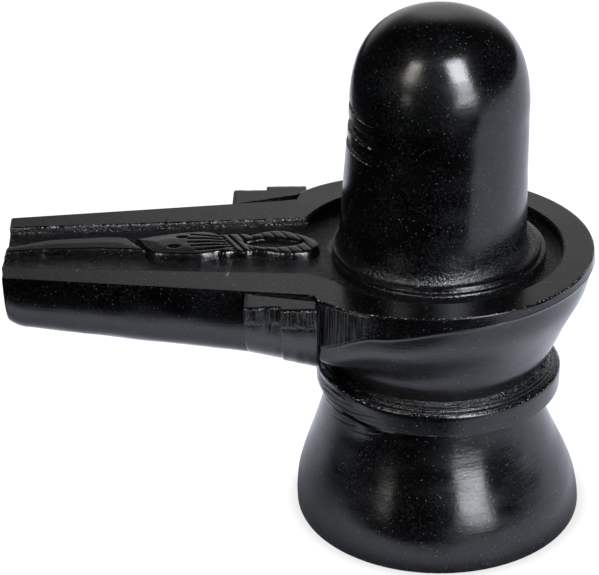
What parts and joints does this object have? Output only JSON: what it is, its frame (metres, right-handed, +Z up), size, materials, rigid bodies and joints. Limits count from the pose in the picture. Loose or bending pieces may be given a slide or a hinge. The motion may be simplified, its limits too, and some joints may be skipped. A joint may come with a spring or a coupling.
{
  "type": "carved stone shiva lingam",
  "caption": "Shiva lingam carved from one block of black stone: a domed shaft in a pear-shaped yoni bowl with a long spout, on a waisted round foot.",
  "frame": {"origin": "centre of the foot's flat underside", "axes": "+Z up along the shaft, -X along the spout from the bowl to its end"},
  "size_m": [0.163, 0.0871, 0.1491],
  "materials": {
    "polished_stone": "polished black stone, dull where it is pecked"
  },
  "bodies": {
    "root": {"lingam_stone": "polished_stone"}
  },
  "joints": []
}
